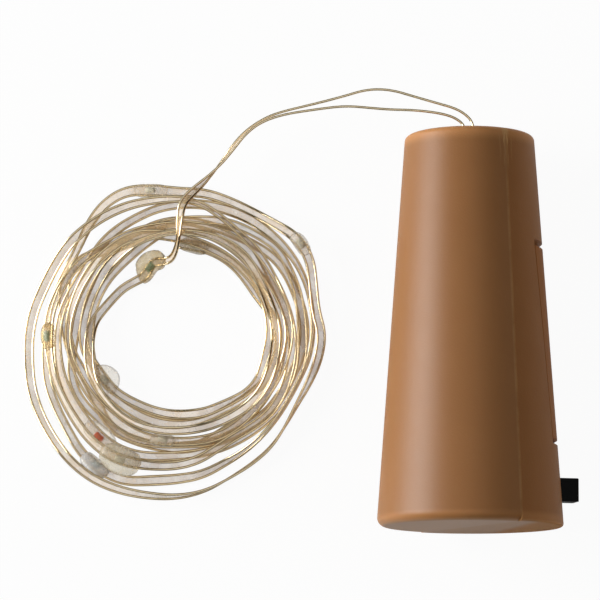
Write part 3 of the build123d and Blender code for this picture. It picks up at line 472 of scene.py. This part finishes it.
def make_resin(name, low, high, cloud, clear):
    """Cast resin that what lies in it shows through, uneven in tint and in how cloudy it is."""
    material, nodes, shader = new_material(name)
    links = material.node_tree.links
    links.new(drifting_colour(nodes, RESIN_CELLS["colour"], low, high), shader.inputs["Base Color"])
    links.new(drifting_value(nodes, RESIN_CELLS["gloss"], RESIN_ROUGHNESS), shader.inputs["Roughness"])
    links.new(drifting_value(nodes, RESIN_CELLS["cloud"], uneven(cloud)), shader.inputs["Alpha"])
    shader.inputs["IOR"].default_value = RESIN_IOR
    shader.inputs["Transmission Weight"].default_value = clear
    add_bump(nodes, shader, noise(nodes, RESIN_CELLS["grain"], GRAIN_DETAIL), RESIN_GRAIN, RESIN_GRAIN_DEPTH)
    return material


def make_mesh(name, vertices, faces, materials, face_slots=None):
    """Smooth mesh object from vertices and faces, with one material slot number for each face."""
    mesh = bpy.data.meshes.new(name)
    mesh.from_pydata(vertices, [], faces)
    for material in materials:
        mesh.materials.append(material)
    if face_slots:
        mesh.polygons.foreach_set("material_index", face_slots)
    mesh.polygons.foreach_set("use_smooth", [True] * len(faces))
    mesh.update()
    made = bpy.data.objects.new(name, mesh)
    bpy.context.collection.objects.link(made)
    return made


def circle(sides):
    """Shares sideways and upward of the points round a circle."""
    turns = [2 * math.pi * step / sides for step in range(sides)]
    return [(math.cos(turn), math.sin(turn)) for turn in turns]


def tube_faces(first, rings, sides):
    """Quads between the rings of a tube, and one flat cap on each end."""
    faces = []
    for ring in range(rings - 1):
        low = first + ring * sides
        for side in range(sides):
            after = (side + 1) % sides
            faces.append((low + side, low + sides + side, low + sides + after, low + after))
    last = first + (rings - 1) * sides
    faces.append(tuple(range(first, first + sides)))
    faces.append(tuple(range(last + sides - 1, last - 1, -1)))
    return faces


def spline_samples(points):
    """Points along a NURBS spline that has the given points as its control points."""
    curve = bpy.data.curves.new("string_route", "CURVE")
    curve.dimensions = "3D"
    curve.resolution_u = SPLINE_STEPS
    spline = curve.splines.new("NURBS")
    spline.points.add(len(points) - 1)
    for point, place in zip(spline.points, points):
        point.co = (*place, 1)
    spline.order_u = SPLINE_ORDER
    spline.use_endpoint_u = True
    carrier = bpy.data.objects.new("string_route", curve)
    mesh = bpy.data.meshes.new_from_object(carrier)
    samples = [vertex.co.copy() for vertex in mesh.vertices]
    bpy.data.meshes.remove(mesh)
    bpy.data.objects.remove(carrier)
    bpy.data.curves.remove(curve)
    return samples


def swell(angle, middle, reach):
    """Smooth bump over the angle of the coil: 1 in its middle, fading out over its reach."""
    return math.exp(-((angle - middle) / reach) ** 2)


def waves(angle, terms, middle=0.0):
    """Middle value with slow waves on it, at an angle of the coil in degrees."""
    turn = math.radians(angle)
    return sum((height * math.sin(pace * turn + start) for height, pace, start in terms), middle)


def coil_radius(angle):
    """Radius of the coil, eased between the listed values of its turns."""
    values = [radius for turn in COIL_TURNS for radius in turn]
    place = (angle - COIL_FIRST_ANGLE) / COIL_STEP
    before = min(int(place), len(values) - 2)
    share = place - before
    share = share * share * (3 - 2 * share)
    radius = values[before] + (values[before + 1] - values[before]) * share
    for middle, reach, height in COIL_KINKS:
        radius += height * swell(angle, middle, reach)
    loose = 1.0 if LOOSE_RADII[0] < radius < LOOSE_RADII[1] else TIGHT_SHARE
    return radius + loose * waves(angle, RADIUS_WAVES)


def coil_twist(angle):
    """Slow uneven twist of the flat string in the coil, in degrees."""
    twist = waves(angle, TWIST_WAVES, TWIST_MIDDLE)
    for middle, reach, roll in COIL_ROLLS:
        twist += roll * swell(angle, middle, reach)
    return twist


def coil_spread(angle):
    """Half the space between the two wires in the coil, wider at the drops."""
    spread = waves(angle, SPREAD_WAVES, SPREAD_MIDDLE)
    for bead in BEAD_ANGLES:
        spread += BEAD_SPREAD * swell(angle, bead, BEAD_SPREAD_REACH)
    return JOINED_SPREAD * spread


def coil_room(angle):
    """Half the height and half the width that the string takes up in the pile."""
    twist = math.radians(coil_twist(angle))
    room = (WIRE_DIAMETER / 2 + coil_spread(angle) * abs(math.sin(twist)), PILE_STRING)
    for bead, width, lean in zip(BEAD_ANGLES, BEAD_WIDTHS, BEAD_LEANS):
        if abs(angle - bead) <= PILE_BEAD_REACH:
            half = math.hypot(BEAD_HEIGHT / 2 * math.cos(twist), width / 2 * math.sin(twist))
            half += width / 2 * (abs(lean) + BEAD_WAVER) * abs(math.sin(twist))
            room = (half, PILE_BEAD)
    return room


def coil_heights():
    """Height of the coil at every few degrees: a turn lies on the floor or on the turns farther along."""
    angles = range(COIL_FIRST_ANGLE, COIL_LAST_ANGLE + 1, PILE_STEP)
    radii = {angle: coil_radius(angle) for angle in angles}
    room = {angle: coil_room(angle) for angle in angles}
    heights = {}
    for angle in reversed(angles):
        half, wide = room[angle]
        height = half
        for shift in range(-PILE_WINDOW, PILE_WINDOW + 1, PILE_STEP):
            own = radii.get(angle + shift, radii[angle])
            below = angle + shift + 360
            while below <= COIL_LAST_ANGLE:
                if below in heights and abs(radii[below] - own) < wide + room[below][1]:
                    height = max(height, heights[below] + room[below][0] + half)
                below += 360
        heights[angle] = height
    smooth = {}
    for angle in angles:
        near = range(angle - PILE_SMOOTH, angle + PILE_SMOOTH + 1, PILE_STEP)
        around = [heights[one] for one in near if one in heights]
        smooth[angle] = max(sum(around) / len(around), room[angle][0])
    return smooth


def string_controls():
    """Control points of the whole string: place, twist and half the space between the wires."""
    controls = list(LEAD_POINTS)
    heights = coil_heights()
    for angle in range(COIL_FIRST_ANGLE, COIL_LAST_ANGLE, COIL_POINT_STEP):
        radius = coil_radius(angle) / COIL_PULL
        turn = math.radians(angle)
        x = COIL_CENTRE[0] + radius * math.cos(turn)
        y = COIL_CENTRE[1] + radius * math.sin(turn)
        controls.append((x, y, heights[angle], coil_twist(angle), coil_spread(angle)))
    return controls


def string_frames(controls):
    """Centre, direction, side and up of the flat string at each sample, with its half spread."""
    centres = spline_samples([control[:3] for control in controls])
    extras = spline_samples([(control[3], control[4], 0) for control in controls])
    frames = []
    for number, centre in enumerate(centres):
        before = centres[max(number - 1, 0)]
        after = centres[min(number + 1, len(centres) - 1)]
        way = (after - before).normalized()
        level = way.cross(UP).normalized()
        twist = Matrix.Rotation(math.radians(extras[number].x), 3, way)
        side = twist @ level
        frames.append((centre, way, side, side.cross(way), extras[number].y))
    return frames


def arc_lengths(frames):
    """Length along the string at each sample."""
    lengths = [0.0]
    for before, after in zip(frames, frames[1:]):
        lengths.append(lengths[-1] + (after[0] - before[0]).length)
    return lengths


def build_string(frames, wire, film):
    """The two wires along the whole string and the film between them where they are joined."""
    vertices = []
    faces = []
    slots = []
    for hand in (-1, 1):
        first = len(vertices)
        for centre, _, side, up, spread in frames:
            middle = centre + side * (hand * spread)
            for sideways, upward in circle(WIRE_SIDES):
                out = side * sideways + up * upward
                vertices.append((middle + out * (WIRE_DIAMETER / 2)) * MM)
        made = tube_faces(first, len(frames), WIRE_SIDES)
        faces += made
        slots += [WIRE_SLOT] * len(made)
    first = len(vertices)
    joined = [one for one, length in zip(frames, arc_lengths(frames)) if length >= FILM_START]
    for centre, _, side, up, spread in joined:
        half = up * (FILM_THICKNESS / 2)
        for across, height in SQUARE:
            vertices.append((centre + side * (across * spread) + half * height) * MM)
    made = tube_faces(first, len(joined), len(SQUARE))
    faces += made
    slots += [FILM_SLOT] * len(made)
    return make_mesh("light_string", vertices, faces, (wire, film), slots)


def coil_angles(frames):
    """Angle that the coil has turned through at each sample, or None on the lead."""
    angles = []
    turned = None
    for centre, *_ in frames:
        across = Vector((centre.x - COIL_CENTRE[0], centre.y - COIL_CENTRE[1]))
        now = math.degrees(math.atan2(across.y, across.x))
        if turned is not None:
            turned += (now - turned + 180) % 360 - 180
        elif abs(now - BEAD_ANGLES[0]) < ENTRY_ANGLE and across.length < COIL_TURNS[0][0] + ENTRY_RADIUS:
            turned = now
        angles.append(turned)
    return angles


def nearest_sample(angles, wanted):
    """Number of the sample that is closest to a coil angle."""
    gaps = [(abs(angle - wanted), number) for number, angle in enumerate(angles) if angle is not None]
    return min(gaps)[1]


def frame_at(frames, lengths, where):
    """Centre, direction, side and up of the string at a length along it, with up away from the floor."""
    where = min(max(where, 0.0), lengths[-1])
    number = next(n for n in range(len(lengths) - 1) if lengths[n + 1] >= where)
    share = (where - lengths[number]) / (lengths[number + 1] - lengths[number])
    centre = frames[number][0].lerp(frames[number + 1][0], share)
    _, way, side, up, _ = frames[number]
    if up.z < 0:
        side, up = -side, -up
    return centre, way, side, up


def make_bead(number, frames, lengths, where, material):
    """Drop of resin round the string: full in the middle, drawn out to the flat string at its ends."""
    half = BEAD_LENGTHS[number] / 2
    vertices = []
    for ring in range(BEAD_RINGS):
        share = 2 * ring / (BEAD_RINGS - 1) - 1
        centre, _, side, up = frame_at(frames, lengths, where + share * half)
        fullness = math.sqrt(max(1 - abs(share) ** BEAD_FULLNESS, 0.0))
        wide = BEAD_TIP + (BEAD_WIDTHS[number] / 2 - BEAD_TIP) * fullness
        tall = FILM_THICKNESS + (BEAD_HEIGHT / 2 - FILM_THICKNESS) * fullness
        waver = BEAD_WAVER * math.sin(BEAD_WAVER_STEP * number + BEAD_WAVER_PACE * share)
        lean = BEAD_LEANS[number] * (1 - share * share) + waver
        for sideways, upward in circle(BEAD_SIDES):
            out = side * (wide * (sideways + lean)) + up * (tall * upward)
            vertices.append((centre + out) * MM)
    return make_mesh(f"drop_{number + 1}", vertices, tube_faces(0, BEAD_RINGS, BEAD_SIDES), (material,))


def make_chip(number, frames, lengths, where, material):
    """Small LED on the string inside the drop: a base with a smaller lens block on it, edges broken."""
    centre, way, side, up = frame_at(frames, lengths, where)
    length, width, height = CHIP_SIZE
    vertices = []
    for scale, rise in CHIP_LEVELS:
        for along, across in SQUARE:
            for cut in ((0, 1), (1, 0)) if along * across > 0 else ((1, 0), (0, 1)):
                x = along * (length / 2 * scale - cut[0] * CHIP_EDGE)
                y = across * (width / 2 * scale - cut[1] * CHIP_EDGE)
                z = WIRE_DIAMETER / 2 + height * rise
                vertices.append((centre + way * x + side * y + up * z) * MM)
    faces = tube_faces(0, len(CHIP_LEVELS), 2 * len(SQUARE))
    chip = make_mesh(f"chip_{number + 1}", vertices, faces, (material,))
    chip.data.polygons.foreach_set("use_smooth", [False] * len(faces))
    return chip


def make_floor():
    """White floor that stays plain for the camera and takes soft shadows."""
    material, nodes, shader = new_material("floor_white")
    links = material.node_tree.links
    shader.inputs["Base Color"].default_value = FLOOR_COLOUR
    shader.inputs["Roughness"].default_value = FLOOR_ROUGHNESS
    rays = nodes.new("ShaderNodeLightPath")
    seen = math_node(nodes, "MAXIMUM", rays.outputs["Is Camera Ray"], rays.outputs["Is Transmission Ray"])
    shown = map_range(nodes, seen, FADE_IN, (0.0, FLOOR_GLOW))
    shine = map_range(nodes, rays.outputs["Is Glossy Ray"], FADE_IN, (0.0, FLOOR_SHINE))
    glow = nodes.new("ShaderNodeEmission")
    mix = nodes.new("ShaderNodeMixShader")
    links.new(math_node(nodes, "MAXIMUM", shown, shine), mix.inputs["Fac"])
    links.new(shader.outputs["BSDF"], mix.inputs[1])
    links.new(glow.outputs["Emission"], mix.inputs[2])
    links.new(mix.outputs["Shader"], nodes["Material Output"].inputs["Surface"])
    half = FLOOR_SIZE / 2
    corners = [(x * half, y * half, -FLOOR_DROP) for x, y in SQUARE]
    make_mesh("floor", corners, [(0, 1, 2, 3)], (material,))


def make_world():
    """Soft studio world: bright overhead, darker towards the horizon, white where the camera sees it."""
    world = bpy.data.worlds.new("studio")
    bpy.context.scene.world = world
    world.use_nodes = True
    nodes = world.node_tree.nodes
    links = world.node_tree.links
    place = nodes.new("ShaderNodeTexCoord")
    split = nodes.new("ShaderNodeSeparateXYZ")
    links.new(place.outputs["Generated"], split.inputs["Vector"])
    level = map_range(nodes, split.outputs["Z"], WORLD_RISE, WORLD_LEVELS)
    gloss = map_range(nodes, split.outputs["Z"], GLOSS_RISE, GLOSS_LEVELS)
    rays = nodes.new("ShaderNodeLightPath")
    shine = nodes.new("ShaderNodeMix")
    shine.data_type = "FLOAT"
    links.new(rays.outputs["Is Glossy Ray"], shine.inputs["Factor"])
    links.new(level, shine.inputs["A"])
    links.new(gloss, shine.inputs["B"])
    mix = nodes.new("ShaderNodeMix")
    mix.data_type = "FLOAT"
    mix.inputs["B"].default_value = 1.0
    links.new(rays.outputs["Is Camera Ray"], mix.inputs["Factor"])
    links.new(shine.outputs["Result"], mix.inputs["A"])
    nodes["Background"].inputs["Color"].default_value = WORLD_COLOUR
    links.new(mix.outputs["Result"], nodes["Background"].inputs["Strength"])


def make_lamp(name, place, target, size, power, shows):
    """Round soft lamp at a place, aimed at a target."""
    light = bpy.data.lights.new(name, "AREA")
    light.shape = "DISK"
    light.size = size
    light.energy = power
    lamp = bpy.data.objects.new(name, light)
    lamp.location = place
    lamp.visible_glossy = shows
    lamp.rotation_euler = (Vector(target) - Vector(place)).to_track_quat("-Z", "Y").to_euler()
    bpy.context.collection.objects.link(lamp)


def make_camera():
    """Camera at the photo's view, with the cork's direction upwards in the picture."""
    camera = bpy.data.cameras.new("photo_camera")
    camera.lens = CAMERA_LENS
    camera.sensor_width = CAMERA_SENSOR
    camera.clip_start, camera.clip_end = CAMERA_CLIP
    holder = bpy.data.objects.new("photo_camera", camera)
    holder.location = CAMERA_PLACE
    way = (CAMERA_TARGET - CAMERA_PLACE).normalized()
    right = way.cross(Vector((0, 1, 0))).normalized()
    level = Matrix((right, right.cross(way), -way)).transposed()
    holder.rotation_euler = (Matrix.Rotation(-CAMERA_ROLL, 3, way) @ level).to_euler()
    bpy.context.collection.objects.link(holder)
    bpy.context.scene.camera = holder


def dress(materials):
    """Give every CAD node its material by its record slot."""
    slots = {part["node"]: part["material_slot"] for part in frame["record"]["subparts"]}
    for node, thing in frame["nodes"].items():
        thing.data.materials.clear()
        thing.data.materials.append(materials[slots[node]])


bpy.context.scene.view_settings.view_transform = "Standard"
make_camera()
make_world()
make_floor()
for name, settings in LAMPS.items():
    make_lamp(name, *settings)

# Materials: the two colours that each drifts between, then cells in a metre and roughness where it's plain
cork = make_cork_plastic("cork_plastic", (0.306, 0.129, 0.038), (0.341, 0.147, 0.046), shine=0.42)
# Painted shade: the rear shell and the battery door are the same plastic as the front shell, but their
# copies are tinted a little redder, for the shade on the cork's dark side and along the door's grazing edge.
rear = make_cork_plastic("rear_plastic", (0.308, 0.124, 0.036), (0.342, 0.140, 0.042), shine=0.20)
door = make_cork_plastic("door_plastic", (0.325, 0.122, 0.034), (0.36, 0.139, 0.040), shine=0.06)
wire = make_wire_metal("wire_champagne")
film = make_film("clear_film")
resins = {
    "clear": make_resin("led_resin", (0.80, 0.73, 0.60), (0.90, 0.84, 0.73), cloud=0.50, clear=0.8),
    "beige": make_resin("led_resin_beige", (0.62, 0.53, 0.36), (0.76, 0.67, 0.49), cloud=0.60, clear=0.6),
    "amber": make_resin("led_resin_amber", (0.58, 0.43, 0.20), (0.72, 0.57, 0.32), cloud=0.70, clear=0.75),
    "opal": make_resin("led_resin_opal", (0.94, 0.95, 0.96), (0.98, 0.98, 0.98), cloud=0.85, clear=0.5),
}
chips = {
    look: make_plain(f"chip_{look}", low, high, CHIP_CELLS, CHIP_ROUGHNESS)
    for look, (low, high) in CHIP_COLOURS.items()
}
dress({
    "cork_plastic": cork,
    "knob_plastic": make_plain("knob_black", (0.003, 0.003, 0.003), (0.006, 0.006, 0.006), 900, 0.45,
                               shine=0.12),
    "cell_steel": make_metal("cell_nickel", (0.55, 0.54, 0.51), (0.68, 0.67, 0.64), 500, 0.28, grain=0.1),
    "contact_steel": make_metal("contact_nickel", (0.50, 0.49, 0.46), (0.66, 0.65, 0.62), 700, 0.3,
                                grain=0.1),
    "switch_steel": make_metal("switch_tinned", (0.48, 0.49, 0.50), (0.62, 0.63, 0.64), 700, 0.35,
                               grain=0.15),
    "switch_plastic": make_plain("switch_phenolic", (0.05, 0.03, 0.02), (0.08, 0.05, 0.03), 800, 0.5),
    "board_laminate": make_plain("board_green", (0.02, 0.10, 0.04), (0.03, 0.15, 0.06), 600, 0.3, coat=0.4),
    "resistor_ceramic": make_plain("resistor_black", (0.02, 0.02, 0.025), (0.04, 0.04, 0.05), 2000, 0.4),
    "solder": make_metal("solder_bright", (0.58, 0.59, 0.61), (0.72, 0.73, 0.75), 1500, 0.25, grain=0.2),
    "wire_enamel": make_plain("wire_enamel", (0.45, 0.36, 0.22), (0.60, 0.50, 0.34), 900, 0.3, metallic=0.6),
    "clear_seal": make_resin("seal_clear", (0.80, 0.78, 0.70), (0.90, 0.89, 0.84), cloud=0.50, clear=0.6),
    "string_ribbon": wire,
    "led_resin": resins["clear"],
    "led_chip": chips["green"],
})
frame["nodes"]["battery_door"].data.materials[0] = door
frame["nodes"]["rear_shell"].data.materials[0] = rear

frames = string_frames(string_controls())
string = build_string(frames, wire, film)
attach(string, "case")
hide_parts("string_lead", "string_coil")
angles = coil_angles(frames)
lengths = arc_lengths(frames)
for number, bead_angle in enumerate(BEAD_ANGLES):
    where = lengths[nearest_sample(angles, bead_angle)]
    bead = make_bead(number, frames, lengths, where, resins[BEAD_RESINS[number]])
    chip = make_chip(number, frames, lengths, where, chips[BEAD_CHIPS[number]])
    for piece, node in ((bead, "led_bead"), (chip, "led_chip")):
        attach(piece, "case")
        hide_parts(f"{node}_{number + 1}")
